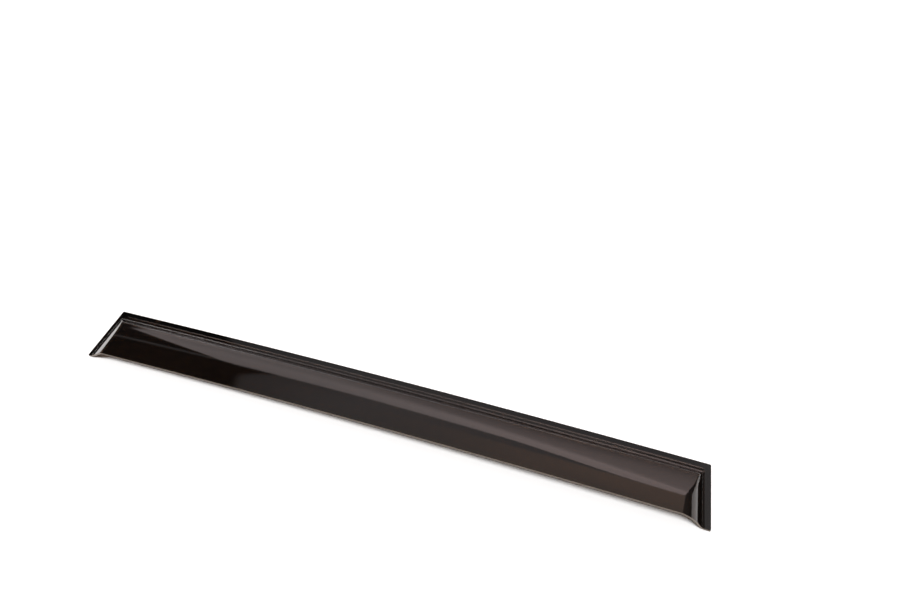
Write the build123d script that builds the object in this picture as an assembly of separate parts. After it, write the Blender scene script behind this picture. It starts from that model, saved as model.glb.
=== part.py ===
from build123d import *
import math
import os

# Window rain deflector for a rear door, lying on its adhesive tape.
# One sheet of tinted acrylic, formed over a mould and trimmed, with foam tape under its flange.
# Millimetres. +X runs along the part, +Y towards the door frame, +Z away from the door.

# Plan of the trimmed sheet, which is deepest at its left end and narrows by depth_taper
overall_length = 781.5
plan_depth = 71.85
depth_taper = 1.5
plan_bow = 3.8
left_flare = 7.5
right_flare = 9.3
corner_radius = 1.5

# Sheet and adhesive tape
sheet_thickness = 2.5
tape_thickness = 0.8
tape_width = 6.0
left_tape_width = 4.5
tape_margin = 0.3
tape_joint = 0.5
tape_gap = 8.5
short_strip_length = 51.6

# Flange, and the walls that rise from it at angles in degrees above the flange
top_flange_width = 10.9
left_flange_width = 5.2
right_flange_width = 8.6
step_angle = 47.5
left_end_angle = 36.5
right_end_angle = 60.0
foot_radius = 6.0
ridge_radius = 2.5

# Bend of each end wall over to the blade, which it meets at its hip angle at the free edge.
# The radius is a share of the plan depth.
left_end_bend_share = 0.11
left_hip_angle = 10.0
right_end_bend_share = 0.445
right_hip_angle = 18.0

# Crown of the blade at the left end, the middle and the right end. Heights above the flange
# and widths of the lower face are shares of the plan depth; bends are shares of the upper face.
lower_slope = 4.0
left_edge_share = 0.249
left_step_share = 0.111
left_lower_share = 0.473
left_bend_share = 0.64
middle_edge_share = 0.309
middle_step_share = 0.136
middle_lower_share = 0.432
middle_bend_share = 0.69
right_edge_share = 0.3685
right_step_share = 0.0626
right_lower_share = 0.278
right_bend_share = 0.045

# How far the mould runs past the trimmed sheet on every side
mould_margin = 12.0


def tan(degrees):
    return math.tan(math.radians(degrees))


def slope_normal(degrees):
    """Normal, in a cross-section, of a face that falls outwards at an angle."""
    return Vector(math.sin(math.radians(degrees)), math.cos(math.radians(degrees)))


def bowed(x, y):
    """Plan position, at x, of an edge whose ends are at y and whose middle is bowed by plan_bow."""
    along = 2 * x / overall_length
    return y + plan_bow * (1 - along * along)


def free_edge(x):
    """Plan position, at x, of the free edge."""
    return bowed(x, free_y) + depth_taper * (x - left_x) / overall_length


# Places that follow from the sizes above
left_x = -overall_length / 2
right_x = overall_length / 2
top_y = (plan_depth - plan_bow) / 2
free_y = top_y - plan_depth
flange_top = tape_thickness + sheet_thickness
free_left = Vector(left_x, free_edge(left_x))
free_right = Vector(right_x, free_edge(right_x))
top_left = Vector(left_x + left_flare, bowed(left_x + left_flare, top_y))
top_right = Vector(right_x - right_flare, bowed(right_x - right_flare, top_y))


def bowed_arc(start_x, end_x, y):
    """Arc along a bowed edge from one x to another."""
    middle_x = (start_x + end_x) / 2
    return ThreePointArc(*[(x, bowed(x, y)) for x in (start_x, middle_x, end_x)])


def trim_outline():
    """Plan of the finished sheet: bowed top and free edges and flared ends."""
    edges = [
        ThreePointArc(*[(x, free_edge(x)) for x in (left_x, 0, right_x)]),
        Line(free_right, top_right),
        bowed_arc(top_right.X, top_left.X, top_y),
        Line(top_left, free_left),
    ]
    outline = make_face(edges)
    return fillet(outline.vertices(), corner_radius)


def offset_corner(before, point, after, inset):
    """Corner of a profile between faces with outward normals before and after, moved inwards."""
    return point - (before + after) * (inset / (1 + before.dot(after)))


def profile(x, edge_share, step_share, lower_share, bend_share, inset, margin):
    """Cross-section of the mould at x: step wall, upper face, bend and lower face."""
    foot_y = bowed(x, top_y) - top_flange_width
    step_height = step_share * plan_depth
    edge_height = flange_top + edge_share * plan_depth
    shoulder = Vector(foot_y - step_height / tan(step_angle), flange_top + step_height)
    lower_width = lower_share * plan_depth
    ridge = Vector(free_edge(x) + lower_width, edge_height - lower_width * tan(lower_slope))
    upper_slope = math.degrees(math.atan2(ridge.Y - shoulder.Y, shoulder.X - ridge.X))
    turn = tan((upper_slope - lower_slope) / 2)
    tangent = bend_share * (ridge - shoulder).length - inset * turn
    shoulder = offset_corner(slope_normal(step_angle), shoulder, slope_normal(upper_slope), inset)
    ridge = offset_corner(slope_normal(upper_slope), ridge, slope_normal(lower_slope), inset)
    front_y = free_y - margin
    front = Vector(front_y, ridge.Y + (ridge.X - front_y) * tan(lower_slope))
    base_z = flange_top - inset - margin / 2
    base = Vector(shoulder.X + (shoulder.Y - base_z) / tan(step_angle), base_z)
    bend_start = ridge + (shoulder - ridge).normalized() * tangent
    bend_end = ridge + (front - ridge).normalized() * tangent
    edges = [
        Line(base, shoulder),
        Line(shoulder, bend_start),
        TangentArc(bend_start, bend_end, tangent=ridge - shoulder),
        Line(bend_end, front),
        Line(front, (front_y, base_z)),
        Line((front_y, base_z), base),
    ]
    return Plane.YZ.offset(x) * make_face(edges)


def crown(inset, margin):
    """Solid under the blade's face, lofted from the left end over the middle to the right end."""
    sections = [
        profile(left_x - margin, left_edge_share, left_step_share, left_lower_share,
                left_bend_share, inset, margin),
        profile(0, middle_edge_share, middle_step_share, middle_lower_share,
                middle_bend_share, inset, margin),
        profile(right_x + margin, right_edge_share, right_step_share, right_lower_share,
                right_bend_share, inset, margin),
    ]
    return loft(sections)


def end_block(free_corner, top_corner, flange_width, edge_share, wall_angle, bend_share, hip_angle,
              inset, margin):
    """Space outside an end wall, which rises straight from its foot and then bends over."""
    along = (top_corner - free_corner).normalized()
    outward = Vector(along.Y, -along.X) * math.copysign(1, free_corner.X)
    foot = free_corner - outward * flange_width + Vector(0, 0, flange_top)
    section = Plane(origin=foot, x_dir=outward, z_dir=outward.cross(Vector(0, 0, 1)))
    edge_height = edge_share * plan_depth
    bend_radius = bend_share * plan_depth
    wall_height = edge_height - bend_radius * (slope_normal(hip_angle).Y - slope_normal(wall_angle).Y)
    wall_top = Vector(-wall_height / tan(wall_angle), wall_height)
    centre = wall_top - slope_normal(wall_angle) * bend_radius
    angles = (wall_angle, wall_angle / 2, 0)
    bend = [centre + slope_normal(angle) * (bend_radius - inset) for angle in angles]
    base = bend[0] + Vector(1 / tan(wall_angle), -1) * (wall_height + margin)
    reach = base.X + flange_width
    top = edge_height + margin
    edges = [
        Line(base, bend[0]),
        ThreePointArc(*bend),
        Polyline(bend[-1], (bend[-1].X, top), (reach, top), (reach, base.Y), base),
    ]
    return extrude(section * make_face(edges), amount=2 * plan_depth, both=True)


def left_end(inset, margin):
    """Space outside the left end wall."""
    return end_block(free_left, top_left, left_flange_width, left_edge_share, left_end_angle,
                     left_end_bend_share, left_hip_angle, inset, margin)


def right_end(inset, margin):
    """Space outside the right end wall."""
    return end_block(free_right, top_right, right_flange_width, right_edge_share, right_end_angle,
                     right_end_bend_share, right_hip_angle, inset, margin)


def shared_edges(first_faces, second_faces):
    """Edges in which faces of one group meet faces of another."""
    others = [edge for face in second_faces for edge in face.edges()]
    return [edge for face in first_faces for edge in face.edges() if any(map(edge.is_same, others))]


def within_plan(edge):
    """Whether an edge lies inside the rectangle around the trimmed sheet."""
    middle = edge.center()
    return left_x < middle.X < right_x and free_y < middle.Y < top_y + plan_bow


def mould(inset):
    """Solid that fills the space under the sheet's outer face, moved inwards by inset."""
    margin = mould_margin + 2 * inset
    level = flange_top - inset
    bump = crown(inset, margin) - left_end(inset, margin) - right_end(inset, margin)
    ends = bump.faces().filter_by(GeomType.PLANE) + bump.faces().filter_by(GeomType.CYLINDER)
    formed = bump.faces().filter_by(GeomType.BSPLINE)
    step = formed.sort_by(Axis.Y)[-1:]
    blade = formed.sort_by(Axis.Z)[-3:]
    bump = fillet(shared_edges(step, blade) + shared_edges(step, ends), ridge_radius)

    front_y = free_y - margin
    slab_size = (overall_length + margin, top_y + plan_bow + margin - front_y, margin)
    slab = Pos(0, front_y, level) * Box(*slab_size, align=(Align.CENTER, Align.MIN, Align.MAX))
    front_cut = Plane(origin=(0, free_y - margin / 2, 0), z_dir=(0, 1, 0))
    body = split(slab + bump, bisect_by=front_cut, keep=Keep.TOP)
    flange = body.faces().filter_by(Axis.Z).sort_by(Axis.Z)[-1]
    return fillet(flange.edges().filter_by(within_plan), foot_radius + inset)


def visor():
    """The formed sheet: the space between two moulds one sheet apart, cut to the plan outline."""
    edge_share = max(left_edge_share, middle_edge_share, right_edge_share)
    height = flange_top + edge_share * plan_depth + mould_margin
    blank = extrude(trim_outline(), amount=height, dir=(0, 0, 1))
    return (blank & mould(0)) - mould(sheet_thickness)


def end_x(free_corner, top_corner, inset, y):
    """Where a line that runs inside an end edge by inset passes y."""
    edge = top_corner - free_corner
    x = free_corner.X + edge.X * (y - free_corner.Y) / edge.Y
    return x - math.copysign(inset * edge.length / edge.Y, free_corner.X)


def tape_on_top(start_upper_x, start_lower_x, end_upper_x, end_lower_x):
    """Tape along the top edge between two cuts, each given by its x at the tape's two sides."""
    upper_y = top_y - tape_margin
    lower_y = upper_y - tape_width
    lower = bowed_arc(start_lower_x, end_lower_x, lower_y)
    upper = bowed_arc(end_upper_x, start_upper_x, upper_y)
    edges = [lower, Line(lower @ 1, upper @ 0), upper, Line(upper @ 1, lower @ 0)]
    return extrude(make_face(edges), amount=tape_thickness, dir=(0, 0, 1))


def tape_on_end(free_corner, top_corner, width):
    """Tape along an end, from the free edge to the side of the tape on the top edge."""
    low_y = free_corner.Y + tape_margin
    high_y = top_y - tape_margin - tape_width - tape_joint
    outer = tape_margin
    inner = tape_margin + width
    points = [
        (end_x(free_corner, top_corner, outer, low_y), low_y),
        (end_x(free_corner, top_corner, inner, low_y), low_y),
        (end_x(free_corner, top_corner, inner, high_y), high_y),
        (end_x(free_corner, top_corner, outer, high_y), high_y),
    ]
    return extrude(make_face(Polyline(points, close=True)), amount=tape_thickness, dir=(0, 0, 1))


def main():
    upper_y = top_y - tape_margin
    lower_y = upper_y - tape_width
    left_cut = [end_x(free_left, top_left, tape_margin, y) for y in (upper_y, lower_y)]
    right_cut = [end_x(free_right, top_right, tape_margin, y) for y in (upper_y, lower_y)]
    gap_start = top_left.X + short_strip_length
    gap_end = gap_start + tape_gap
    parts = {
        "visor": visor(),
        "short_top_tape": tape_on_top(*left_cut, gap_start, gap_start),
        "long_top_tape": tape_on_top(gap_end, gap_end, *right_cut),
        "left_end_tape": tape_on_end(free_left, top_left, left_tape_width),
        "right_end_tape": tape_on_end(free_right, top_right, tape_width),
    }
    os.makedirs("parts", exist_ok=True)
    for name, solid in parts.items():
        export_step(solid, f"parts/{name}.step")


main()
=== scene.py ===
import bpy
import math
import numpy as np
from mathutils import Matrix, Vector


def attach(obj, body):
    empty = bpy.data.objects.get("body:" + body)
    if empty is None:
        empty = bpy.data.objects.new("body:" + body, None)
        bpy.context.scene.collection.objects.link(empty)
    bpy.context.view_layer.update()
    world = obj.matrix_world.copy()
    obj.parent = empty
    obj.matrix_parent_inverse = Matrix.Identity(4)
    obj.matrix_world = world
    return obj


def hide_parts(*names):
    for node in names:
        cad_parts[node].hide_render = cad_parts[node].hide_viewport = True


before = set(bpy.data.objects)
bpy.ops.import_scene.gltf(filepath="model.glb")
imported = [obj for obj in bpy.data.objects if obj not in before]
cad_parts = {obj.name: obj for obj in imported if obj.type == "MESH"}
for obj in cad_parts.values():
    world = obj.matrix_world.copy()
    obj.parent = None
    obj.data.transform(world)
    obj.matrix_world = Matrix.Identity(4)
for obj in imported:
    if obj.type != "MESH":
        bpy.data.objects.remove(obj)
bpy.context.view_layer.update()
scene = bpy.context.scene
mm = 0.001
tiny = 1e-9  # keeps divisors away from zero

# Plan of the sheet, in metres: bowed top and free edges, flared ends, rounded corners.
# It is deepest at its left end and narrows by depth_taper.
overall_length = 781.5 * mm
plan_depth = 71.85 * mm
depth_taper = 1.5 * mm
plan_bow = 3.8 * mm
left_flare = 7.5 * mm
right_flare = 9.3 * mm
corner_radius = 1.5 * mm

# Section of the sheet: thickness, flange, angle of the step that rises from it, and the roundings
# at the step's foot, at its shoulder, at the hips over the end walls and along the trimmed edge
sheet_thickness = 2.5 * mm
flange_top = 3.3 * mm
top_flange_width = 10.9 * mm
step_angle = 47.5
foot_radius = 4.0 * mm
shoulder_radius = 0.8 * mm
hip_radius = 2.5 * mm
edge_break = 0.25 * mm

# Shallow rib along the flange: its height, where it starts, crests and ends as distances from the
# top edge, how far it stays from the ends of the sheet, and how long it takes to rise from there
rib_height = 0.4 * mm
rib_start = 6.0 * mm
rib_crest = 7.1 * mm
rib_end = 10.0 * mm
rib_end_gap = 14.0 * mm
rib_run_out = 6.0 * mm

# Crown of the blade: slope of its lower face in degrees and bulge of its upper face. Then, for the
# left end, the middle and the right end: height of the free edge above the flange, height of the
# step, width of the lower face, and the bend as a share of the upper face.
lower_slope = 4.0
upper_crown = 0.3 * mm
crown_sizes = [
    (0.249 * plan_depth, 0.111 * plan_depth, 0.473 * plan_depth, 0.64),
    (0.309 * plan_depth, 0.136 * plan_depth, 0.432 * plan_depth, 0.69),
    (0.3685 * plan_depth, 0.0626 * plan_depth, 0.278 * plan_depth, 0.045),
]
mould_margin = 12.0 * mm  # from the ends of the sheet out to the end sections of the crown

# End walls, for the left and the right: flare of the end in plan, width of its flange, height of
# the free edge above the flange, angle of the wall, radius of the bend over to the blade, and the
# angle at which the bend meets the blade at the free edge
end_sizes = {
    -1: (left_flare, 5.2 * mm, crown_sizes[0][0], 36.5, 0.11 * plan_depth, 10.0),
    1: (right_flare, 8.6 * mm, crown_sizes[2][0], 60.0, 0.445 * plan_depth, 18.0),
}

# Colours, each as a darker and a lighter tone: what is seen through the sheet, its sawn free edge,
# the foam, the floor as it lights the object, and the floor as it is seen
acrylic_tints = [(0.052, 0.031, 0.019), (0.06, 0.036, 0.022)]
edge_colours = [(0.18, 0.145, 0.11), (0.24, 0.19, 0.145)]
foam_colours = [(0.005, 0.005, 0.0055), (0.009, 0.009, 0.0095)]
floor_colours = [(0.96, 0.96, 0.96), (0.98, 0.98, 0.98)]
floor_colours_seen = [(1.15, 1.15, 1.15), (1.17, 1.17, 1.17)]

# Places that follow from those sizes
left_x = -overall_length / 2
right_x = overall_length / 2
top_y = (plan_depth - plan_bow) / 2
free_y = top_y - plan_depth


def tan(degrees):
    return math.tan(math.radians(degrees))


def slope_normal(degrees):
    """Normal, in a cross-section, of a face that falls outwards at an angle."""
    return np.array([math.sin(math.radians(degrees)), math.cos(math.radians(degrees))])


def bowed(x, y):
    """Plan position, at x, of an edge whose ends are at y and whose middle is bowed by plan_bow."""
    return y + plan_bow * (1 - (2 * x / overall_length) ** 2)


def free_edge(x):
    """Plan position, at x, of the free edge."""
    return bowed(x, free_y) + depth_taper * (x - left_x) / overall_length


def unit(vector):
    return vector / np.linalg.norm(vector)


def offset_corner(before, point, after, inset):
    """Corner of a section between faces with outward normals before and after, moved inwards."""
    return point - (before + after) * (inset / (1 + before.dot(after)))


def crown_section(x, sizes, inset):
    """Points of the crown's section at x, as (y, z), and the weight of its bend's middle point."""
    edge_height, step_height, lower_width, bend_share = sizes
    foot_y = bowed(x, top_y) - top_flange_width
    shoulder = np.array([foot_y - step_height / tan(step_angle), flange_top + step_height])
    ridge_y = free_edge(x) + lower_width
    ridge = np.array([ridge_y, flange_top + edge_height - lower_width * tan(lower_slope)])
    upper_slope = math.degrees(math.atan2(ridge[1] - shoulder[1], shoulder[0] - ridge[0]))
    half_turn = (upper_slope - lower_slope) / 2
    tangent = bend_share * np.linalg.norm(ridge - shoulder) - inset * tan(half_turn)
    shoulder = offset_corner(slope_normal(step_angle), shoulder, slope_normal(upper_slope), inset)
    ridge = offset_corner(slope_normal(upper_slope), ridge, slope_normal(lower_slope), inset)
    bend_start = ridge + unit(shoulder - ridge) * tangent
    bend_end = ridge + unit(np.array([-1, tan(lower_slope)])) * tangent
    points = np.concatenate([shoulder, bend_start, ridge, bend_end])
    return np.append(points, math.cos(math.radians(half_turn)))


def crown_points(x, inset):
    """The crown's section at each x, on parabolas through its three given sections."""
    margin = mould_margin + 2 * inset
    places = np.array([left_x - margin, 0, right_x + margin])
    sections = np.array([crown_section(p, s, inset) for p, s in zip(places, crown_sizes)])
    weights = []
    for i in range(3):
        a, b, c = places[i], places[(i + 1) % 3], places[(i + 2) % 3]
        weights.append((x - b) * (x - c) / ((a - b) * (a - c)))
    return np.tensordot(np.array(weights), sections, axes=(0, 0))


def crown_heights(x, y, inset):
    """Heights of the step wall and of the blade over plan points."""
    p = np.moveaxis(crown_points(x, inset), -1, 0)
    shoulder_y, shoulder_z, start_y, start_z, ridge_y, ridge_z, end_y, end_z, weight = p
    step = shoulder_z + (shoulder_y - y) * tan(step_angle)
    upper = start_z + (start_y - y) * (start_z - shoulder_z) / (shoulder_y - start_y)
    lower = end_z + (end_y - y) * tan(lower_slope)
    # The bend is a conic arc, whose parameter at y solves a quadratic equation
    a, b, c = start_y - y, weight * (ridge_y - y), end_y - y
    square, linear = a - 2 * b + c, 2 * (b - a)
    root = np.sqrt(np.maximum(linear * linear - 4 * square * a, 0))
    t = np.clip(2 * a / (-linear + root), 0, 1)
    first, middle, last = (1 - t) ** 2, 2 * weight * t * (1 - t), t * t
    bend = (first * start_z + middle * ridge_z + last * end_z) / (first + middle + last)
    blade = np.where(y > start_y, upper, np.where(y < end_y, lower, bend))
    # The upper face bulges a little, so that it is steepest at the shoulder
    share = np.clip((y - end_y) / (shoulder_y - end_y), 0, 1)
    bulge_peak = 4 / 27
    return step, blade + upper_crown * share ** 2 * (1 - share) / bulge_peak


def end_height(x, y, side, inset):
    """Height over plan points of an end wall, which rises straight and then bends over."""
    flare, flange_width, edge_height, wall_angle, bend_radius, hip_angle = end_sizes[side]
    free_x = side * right_x
    top_x = free_x - side * flare
    along = unit(np.array([top_x - free_x, bowed(top_x, top_y) - free_edge(free_x)]))
    outward = np.array([along[1], -along[0]]) * side
    distance = (x - free_x) * outward[0] + (y - free_edge(free_x)) * outward[1] + flange_width
    bend_height = bend_radius * (slope_normal(hip_angle)[1] - slope_normal(wall_angle)[1])
    wall_height = edge_height - bend_height
    wall_top = np.array([-wall_height / tan(wall_angle), wall_height])
    centre = wall_top - slope_normal(wall_angle) * bend_radius
    radius = bend_radius - inset
    knee = centre + slope_normal(wall_angle) * radius
    wall = knee[1] + (knee[0] - distance) * tan(wall_angle)
    across = np.clip(distance - centre[0], 0, radius)
    bend = centre[1] + np.sqrt(radius ** 2 - across ** 2)
    beyond = centre[1] + radius + (centre[0] - distance)
    height = np.where(distance > knee[0], wall, np.where(distance > centre[0], bend, beyond))
    return flange_top + height


def with_slopes(height, x, y):
    """Heights of a face over plan points, with its slopes along x and y."""
    step = 0.02 * mm
    along_x = (height(x + step, y) - height(x - step, y)) / (2 * step)
    along_y = (height(x, y + step) - height(x, y - step)) / (2 * step)
    return np.array([height(x, y), along_x, along_y])


def rounded_min(a, b, radius):
    """The lower of two faces with their slopes, with a rounded edge where they cross."""
    turn = (a[1] - b[1]) ** 2 + (a[2] - b[2]) ** 2
    mean = ((a[1] + b[1]) ** 2 + (a[2] + b[2]) ** 2) / 4
    width = np.maximum(radius * turn / (2 * (1 + mean) ** 1.5), tiny)
    share = np.maximum(width - np.abs(a[0] - b[0]), 0) / width
    lower = np.where(a[0] < b[0], a, b)
    higher = np.where(a[0] < b[0], b, a)
    result = lower + (higher - lower) * share / 2
    result[0] = lower[0] - share * share * width / 4
    return result


def smooth(value, start, end):
    """Runs smoothly from 0 to 1 as a value goes from start to end."""
    share = np.clip((value - start) / (end - start), 0, 1)
    return share * share * (3 - 2 * share)


def rib_rise(x, y):
    """Height, over plan points, of the rib above the flange."""
    inward = bowed(x, top_y) - y
    from_end = right_x - np.abs(x)
    across = smooth(inward, rib_start, rib_crest) - smooth(inward, rib_crest, rib_end)
    return rib_height * across * smooth(from_end, rib_end_gap, rib_end_gap + rib_run_out)


def sheet_height(x, y, inset):
    """Height of the sheet's outer face, or of the face that lies inset below it."""
    level = flange_top - inset + rib_rise(x, y)
    radius = foot_radius + inset
    step = with_slopes(lambda px, py: crown_heights(px, py, inset)[0], x, y)
    blade = with_slopes(lambda px, py: crown_heights(px, py, inset)[1], x, y)
    crest = rounded_min(step, blade, shoulder_radius)
    for side in (-1, 1):
        end = with_slopes(lambda px, py: end_height(px, py, side, inset), x, y)
        crest = rounded_min(crest, end, hip_radius)
    # A fillet leads from the flange up to whatever rises from it
    rise = crest[0] - level
    slope = np.maximum(np.hypot(crest[1], crest[2]), tiny)
    angle = np.arctan(slope)
    inside = np.clip(rise / slope + radius * np.tan(angle / 2), 0, None)
    filleted = radius - np.sqrt(np.maximum(radius ** 2 - inside ** 2, 0))
    return level + np.where(inside < radius * np.sin(angle), filleted, np.maximum(rise, 0))


def zone_stops(start, zones):
    """Stops along a line, through zones that each have an end and a number of even steps."""
    stops = [start]
    for end, count in zones:
        for i in range(count):
            stops.append(start + (end - start) * (i + 1) / count)
        start = end
    return stops


def plan_grid():
    """Plan points of the sheet in rows from end to end, from the free edge to the top edge."""
    end_zone = 60.0 * mm
    inner_zone = 150.0 * mm
    distances = zone_stops(0, [
        (edge_break, 1),
        (end_zone, 90),
        (inner_zone, 40),
        (overall_length - inner_zone, 110),
        (overall_length - end_zone, 40),
        (overall_length - edge_break, 90),
        (overall_length, 1),
    ])
    columns = np.array(distances) / overall_length
    x = left_x + columns * overall_length
    section = crown_points(x, 0)
    shoulder, bend_start, bend_end = section[:, 0], section[:, 2], section[:, 6]
    low = free_edge(x)
    high = bowed(x, top_y)
    foot = high - top_flange_width
    near_shoulder = 0.8 * mm
    near_foot = 3.0 * mm
    y = np.array(zone_stops(low, [
        (low + edge_break, 1),
        (bend_end, 16),
        (bend_start, 16),
        (shoulder - near_shoulder, 8),
        (shoulder + near_shoulder, 8),
        (foot - near_foot, 6),
        (foot + near_foot, 14),
        (high - rib_crest, 2),
        (high - rib_start, 10),
        (high - edge_break, 4),
        (high, 1),
    ]))
    # The rows keep their share of the depth as the columns lean with the flared ends
    depth = (y - low) / (high - low)
    from_left = left_flare * depth
    from_right = right_flare * depth
    x = left_x + from_left + columns * (overall_length - from_left - from_right)
    y = free_edge(x) + depth * (bowed(x, top_y) - free_edge(x))
    return x, y


def round_corners(x, y):
    """Moves plan points at the four corners of the sheet on to its corner arcs."""
    apart = 5  # rows or columns from a corner to the points that give the directions of its edges
    for row in (0, -1):
        for column in (0, -1):
            next_row = row - apart if row else apart
            next_column = column - apart if column else apart
            corner = np.array([x[row, column], y[row, column]])
            along = unit(np.array([x[row, next_column], y[row, next_column]]) - corner)
            up = unit(np.array([x[next_row, column], y[next_row, column]]) - corner)
            half = math.acos(np.clip(along.dot(up), -1, 1)) / 2
            reach = corner_radius / math.tan(half)
            centre = corner + unit(along + up) * corner_radius / math.sin(half)
            dx, dy = x - centre[0], y - centre[1]
            px, py = x - corner[0], y - corner[1]
            near = (px * along[0] + py * along[1] < reach) & (px * up[0] + py * up[1] < reach)
            out = np.hypot(dx, dy)
            move = near & (out > corner_radius)
            scale = np.where(move, corner_radius / np.maximum(out, tiny), 1)
            x, y = centre[0] + dx * scale, centre[1] + dy * scale
    return x, y


def sheet_mesh():
    """The whole sheet: outer face, inner face and the trimmed edge with its narrow chamfers.

    The second result tells which points of a face lie on the free edge.
    """
    x, y = round_corners(*plan_grid())
    border = np.zeros(x.shape, bool)
    border[[0, -1], :] = True
    border[:, [0, -1]] = True
    outer = sheet_height(x, y, 0) - edge_break * border
    inner = sheet_height(x, y, sheet_thickness) + edge_break * border
    points = [np.stack([x, y, z], axis=-1).reshape(-1, 3) for z in (outer, inner)]
    rows, columns = x.shape
    count = rows * columns
    faces = []
    for r in range(rows - 1):
        for c in range(columns - 1):
            a = r * columns + c
            quad = (a, a + 1, a + columns + 1, a + columns)
            faces.append(quad)
            faces.append(tuple(count + i for i in reversed(quad)))
    ring = list(range(columns))
    ring += [r * columns + columns - 1 for r in range(1, rows)]
    ring += [(rows - 1) * columns + c for c in range(columns - 2, -1, -1)]
    ring += [r * columns for r in range(rows - 2, 0, -1)]
    for i, a in enumerate(ring):
        b = ring[(i + 1) % len(ring)]
        faces.append((b, a, count + a, count + b))
    mesh = bpy.data.meshes.new("visor_sheet")
    mesh.from_pydata(np.concatenate(points).tolist(), [], faces)
    mesh.validate()
    on_free_edge = np.zeros(x.shape, bool)
    on_free_edge[0] = True
    return mesh, on_free_edge.reshape(-1)


def add(tree, kind, **values):
    """A node with values for its sockets and settings."""
    node = tree.nodes.new(kind)
    for key, value in values.items():
        if key in node.inputs:
            node.inputs[key].default_value = value
        else:
            setattr(node, key, value)
    return node


def material(name, shader_kind, **values):
    """A material of one shader, with its tree, the shader's inputs and the object's coordinates."""
    mat = bpy.data.materials.new(name)
    mat.use_nodes = True
    tree = mat.node_tree
    tree.nodes.clear()
    out = tree.nodes.new("ShaderNodeOutputMaterial")
    shader = add(tree, shader_kind, **values)
    tree.links.new(shader.outputs[0], out.inputs["Surface"])
    place = tree.nodes.new("ShaderNodeTexCoord").outputs["Object"]
    return mat, tree, shader.inputs, place


def noise(tree, coordinates, scale, detail=2.0):
    """Values of a noise pattern over coordinates, stretched by a scale per metre."""
    stretch = add(tree, "ShaderNodeMapping", Scale=scale)
    pattern = add(tree, "ShaderNodeTexNoise", Scale=1.0, Detail=detail)
    tree.links.new(coordinates, stretch.inputs["Vector"])
    tree.links.new(stretch.outputs[0], pattern.inputs["Vector"])
    return pattern.outputs["Fac"]


def spread(tree, value, start, end, low=0.0, high=1.0, interpolation="LINEAR"):
    """Runs from low to high as a value goes from start to end."""
    node = add(tree, "ShaderNodeMapRange", interpolation_type=interpolation)
    ends = {"From Min": start, "From Max": end, "To Min": low, "To Max": high}
    for name, number in ends.items():
        node.inputs[name].default_value = number
    tree.links.new(value, node.inputs["Value"])
    return node.outputs[0]


# Places of a Mix node's colours among its sockets: two inputs and the result
mix_first, mix_second, mix_result = 6, 7, 2


def blend(tree, value, colours):
    """A colour between a pair of colours."""
    node = add(tree, "ShaderNodeMix", data_type="RGBA")
    tree.links.new(value, node.inputs["Factor"])
    node.inputs[mix_first].default_value = (*colours[0], 1)
    node.inputs[mix_second].default_value = (*colours[1], 1)
    return node.outputs[mix_result]


def bump(tree, height, distance, strength=1.0):
    """Normals of a surface with a height pattern."""
    node = add(tree, "ShaderNodeBump", Distance=distance, Strength=strength)
    tree.links.new(height, node.inputs["Height"])
    return node.outputs[0]


def acrylic():
    """Polished smoke-brown sheet: faint forming waves, haze and a slightly uneven tint."""
    clear = {"IOR": 1.49, "Transmission Weight": 1.0}
    mat, tree, inputs, place = material("tinted_acrylic", "ShaderNodeBsdfPrincipled", **clear)
    link = tree.links.new
    tint = noise(tree, place, scale=(14, 40, 40))
    haze = noise(tree, place, scale=(60, 160, 160), detail=5.0)
    waves = noise(tree, place, scale=(9, 30, 30), detail=1.0)
    link(blend(tree, tint, acrylic_tints), inputs["Base Color"])
    link(spread(tree, haze, 0.35, 0.75, low=0.015, high=0.06), inputs["Roughness"])
    link(bump(tree, waves, distance=0.12 * mm), inputs["Normal"])
    return mat


def cut_edge():
    """Sawn edge of the sheet: matt and paler, with fine marks across its thickness."""
    mat, tree, inputs, place = material("cut_edge", "ShaderNodeBsdfPrincipled")
    link = tree.links.new
    marks = noise(tree, place, scale=(2600, 2600, 180), detail=3.0)
    patches = noise(tree, place, scale=(70, 70, 70))
    link(blend(tree, patches, edge_colours), inputs["Base Color"])
    link(spread(tree, marks, 0.3, 0.7, low=0.4, high=0.6), inputs["Roughness"])
    link(bump(tree, marks, distance=0.05 * mm, strength=0.6), inputs["Normal"])
    return mat


def foam():
    """Matt black closed-cell foam."""
    mat, tree, inputs, place = material("foam_tape", "ShaderNodeBsdfPrincipled")
    link = tree.links.new
    cells = add(tree, "ShaderNodeTexVoronoi", Scale=2200.0)
    link(place, cells.inputs["Vector"])
    patches = noise(tree, place, scale=(120, 120, 120))
    link(blend(tree, patches, foam_colours), inputs["Base Color"])
    link(spread(tree, patches, 0.3, 0.7, low=0.85, high=0.95), inputs["Roughness"])
    link(bump(tree, cells.outputs["Distance"], distance=0.15 * mm, strength=0.7), inputs["Normal"])
    return mat


def floor_material():
    """Plain white floor with a faint grain, a little lighter as it is seen than as it lights."""
    mat, tree, inputs, place = material("floor", "ShaderNodeBsdfDiffuse")
    link = tree.links.new
    grain = noise(tree, place, scale=(300, 300, 300))
    rays = tree.nodes.new("ShaderNodeLightPath")
    seen = rays.outputs["Is Camera Ray"]
    for kind in ("Is Glossy Ray", "Is Transmission Ray"):
        either = add(tree, "ShaderNodeMath", operation="MAXIMUM")
        link(seen, either.inputs[0])
        link(rays.outputs[kind], either.inputs[1])
        seen = either.outputs[0]
    colour = add(tree, "ShaderNodeMix", data_type="RGBA")
    link(seen, colour.inputs["Factor"])
    link(blend(tree, grain, floor_colours), colour.inputs[mix_first])
    link(blend(tree, grain, floor_colours_seen), colour.inputs[mix_second])
    link(colour.outputs[mix_result], inputs["Color"])
    return mat


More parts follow.
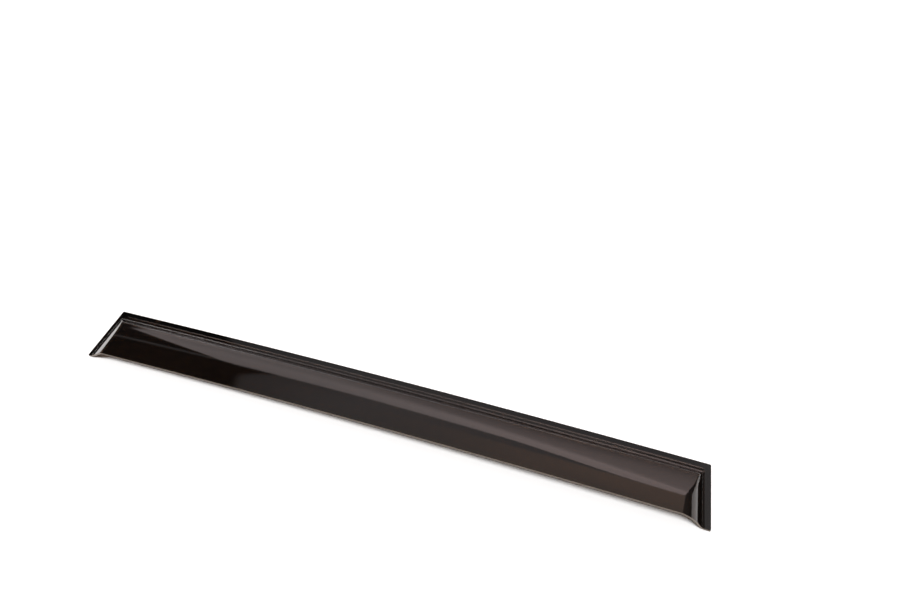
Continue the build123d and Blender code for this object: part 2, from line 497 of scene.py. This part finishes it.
def build_sheet():
    """The formed sheet in place of the visor, with another material along its free edge."""
    mesh, on_free_edge = sheet_mesh()
    mesh.materials.append(acrylic())
    mesh.materials.append(cut_edge())
    for polygon in mesh.polygons:
        polygon.use_smooth = True
        at_free_edge = any(on_free_edge[v % len(on_free_edge)] for v in polygon.vertices)
        polygon.material_index = 1 if at_free_edge else 0
    mesh.set_sharp_from_angle(angle=math.radians(30))
    piece = bpy.data.objects.new("visor_sheet", mesh)
    scene.collection.objects.link(piece)
    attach(piece, "root")
    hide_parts("visor")


build_sheet()
black = foam()
for name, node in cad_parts.items():
    if name.endswith("tape"):
        node.data.materials[0] = black

bpy.ops.mesh.primitive_plane_add(size=60, location=(0, 0, 0))
floor = bpy.context.object
floor.name = "floor"
floor.data.materials.append(floor_material())


def direction(azimuth, elevation):
    """Unit direction of angles in degrees; azimuth runs from +Y towards +X."""
    a, e = math.radians(azimuth), math.radians(elevation)
    return (math.sin(a) * math.cos(e), math.cos(a) * math.cos(e), math.sin(e))


def studio_world():
    """Soft studio surroundings, which give the glossy sheet its light and dark parts.

    A bright panel stands behind the object, with a paler wall over it and a warm patch on that.
    The room is dim at the right. It is dark at the left, but for a low strip and a faint streak.
    """
    world = bpy.data.worlds.new("studio")
    world.use_nodes = True
    tree = world.node_tree
    tree.nodes.clear()
    link = tree.links.new
    out = tree.nodes.new("ShaderNodeOutputWorld")
    towards = tree.nodes.new("ShaderNodeTexCoord").outputs["Generated"]
    split = tree.nodes.new("ShaderNodeSeparateXYZ")
    link(towards, split.inputs[0])

    def math_node(operation, *values):
        """Result of an operation on numbers and sockets."""
        node = add(tree, "ShaderNodeMath", operation=operation)
        for socket, value in zip(node.inputs, values):
            if isinstance(value, (int, float)):
                socket.default_value = value
            else:
                link(value, socket)
        return node.outputs[0]

    def product(*values):
        result = values[0]
        for value in values[1:]:
            result = math_node("MULTIPLY", result, value)
        return result

    def fade(value, start, end, low=0.0, high=1.0):
        """Runs smoothly from low to high as a value goes from start to end."""
        return spread(tree, value, start, end, low, high, interpolation="SMOOTHSTEP")

    def band(value, start, full, dim, end):
        """Rises from 0 to 1 between start and full, and falls back to 0 between dim and end."""
        return product(fade(value, start, full), fade(value, end, dim))

    def curve(value, stops):
        """A brightness that follows stops of (angle, brightness)."""
        first, last = stops[0][0], stops[-1][0]
        ramp = tree.nodes.new("ShaderNodeValToRGB")
        link(spread(tree, value, first, last), ramp.inputs[0])
        elements = ramp.color_ramp.elements
        while len(elements) < len(stops):
            elements.new(0.5)
        peak = max(level for _, level in stops)
        for element, (angle, level) in zip(elements, stops):
            element.position = (angle - first) / (last - first)
            element.color = (level / peak, level / peak, level / peak, 1)
        return product(ramp.outputs["Color"], peak)

    def light(colour, strength):
        """Adds light of one colour to what the world already gives."""
        back = add(tree, "ShaderNodeBackground", Color=(*colour, 1))
        if isinstance(strength, float):
            back.inputs["Strength"].default_value = strength
        else:
            link(strength, back.inputs["Strength"])
        both = tree.nodes.new("ShaderNodeAddShader")
        if out.inputs["Surface"].is_linked:
            link(out.inputs["Surface"].links[0].from_socket, both.inputs[0])
        link(back.outputs[0], both.inputs[1])
        link(both.outputs[0], out.inputs["Surface"])

    # Angles in degrees; azimuth runs from +Y, behind the object, towards +X at the right
    degrees = 180 / math.pi
    elevation = product(math_node("ARCSINE", split.outputs["Z"]), degrees)
    azimuth = product(math_node("ARCTAN2", split.outputs["X"], split.outputs["Y"]), degrees)

    # Panel, which gets brighter upwards and to the right, and warmer to the right. Its top is
    # higher at the right, and panel_elevation is measured against that top.
    panel_level = curve(elevation, [
        (-5, 0.2), (0, 0.25), (4, 0.42), (8, 0.76), (12, 1.08), (18, 1.5), (24, 1.88), (36, 1.95),
    ])
    panel_elevation = math_node("SUBTRACT", elevation, fade(azimuth, -12, 4, 0.0, 14.0))
    panel_sides = product(band(azimuth, -42.5, -41.5, 13, 17), fade(azimuth, -42, 0, 0.76, 1.15))
    panel = product(panel_level, panel_sides, fade(panel_elevation, 38, 34.5))
    light((1.0, 0.88, 0.88), panel)
    light((1.0, 0.4, 0.25), product(panel, fade(azimuth, -30, 5, 0.0, 0.16)))

    # Wall over the panel, which dims to the left and ends there at a long slanting line
    line = add(tree, "ShaderNodeVectorMath", operation="DOT_PRODUCT")
    link(towards, line.inputs[0])
    line.inputs[1].default_value = (0.846, 0.158, 0.51)
    past_line = line.outputs["Value"]
    wall_level = fade(past_line, -0.02, 0.17, 0.55, 1.0)
    wall_sides = product(fade(past_line, -0.008, 0.008), fade(azimuth, 45, 25))
    over_panel = fade(panel_elevation, 34.5, 38, 0.0, 0.6)
    behind = fade(split.outputs["Y"], -0.3, 0.0)
    light((1.0, 0.94, 0.95), product(over_panel, behind, wall_level, wall_sides))

    # Warm patch on the wall
    warm_patch = product(band(elevation, 48, 54, 61, 64), band(azimuth, -45, 5, 20, 40))
    light((1.0, 0.52, 0.25), product(warm_patch, 0.55))

    # Right side of the room
    right_side = product(fade(elevation, 5, 30, 0.05, 0.2), band(azimuth, 13, 17, 80, 100))
    light((1.0, 0.85, 0.8), right_side)

    # Low strip at the left, which draws the light lines along the flange and on the left end wall
    low_strip = product(band(elevation, -2, -1, 4, 5), band(azimuth, -110, -100, -34, -26))
    light((1.0, 0.97, 0.95), product(low_strip, 7.0))

    # Streak beside the panel, and a faint light from all round
    streak = product(band(elevation, 33, 34.5, 35.5, 37), band(azimuth, -58, -50, -42.5, -41.5))
    light((1.0, 0.95, 0.96), product(streak, 0.3))
    light((1.0, 0.9, 0.85), 0.06)
    scene.world = world


studio_world()

# Wide key light from above, a little towards the camera
key = bpy.data.lights.new("key", "SUN")
key.energy = 2.5
key.angle = math.radians(16)
key_object = bpy.data.objects.new("key", key)
to_key = Vector(direction(azimuth=180, elevation=78))
key_object.rotation_euler = (-to_key).to_track_quat("-Z", "Y").to_euler()
scene.collection.objects.link(key_object)

# Camera of the photo
camera_data = bpy.data.cameras.new("camera")
camera_data.sensor_width = 36.0
camera_data.lens = 27.308
camera = bpy.data.objects.new("camera", camera_data)
scene.collection.objects.link(camera)
camera.location = (0.28552, -0.28652, 0.73804)
camera.rotation_mode = "QUATERNION"
camera.rotation_quaternion = (0.94540099, 0.27844441, 0.09533899, 0.13998631)
scene.camera = camera

scene.view_settings.view_transform = "Standard"
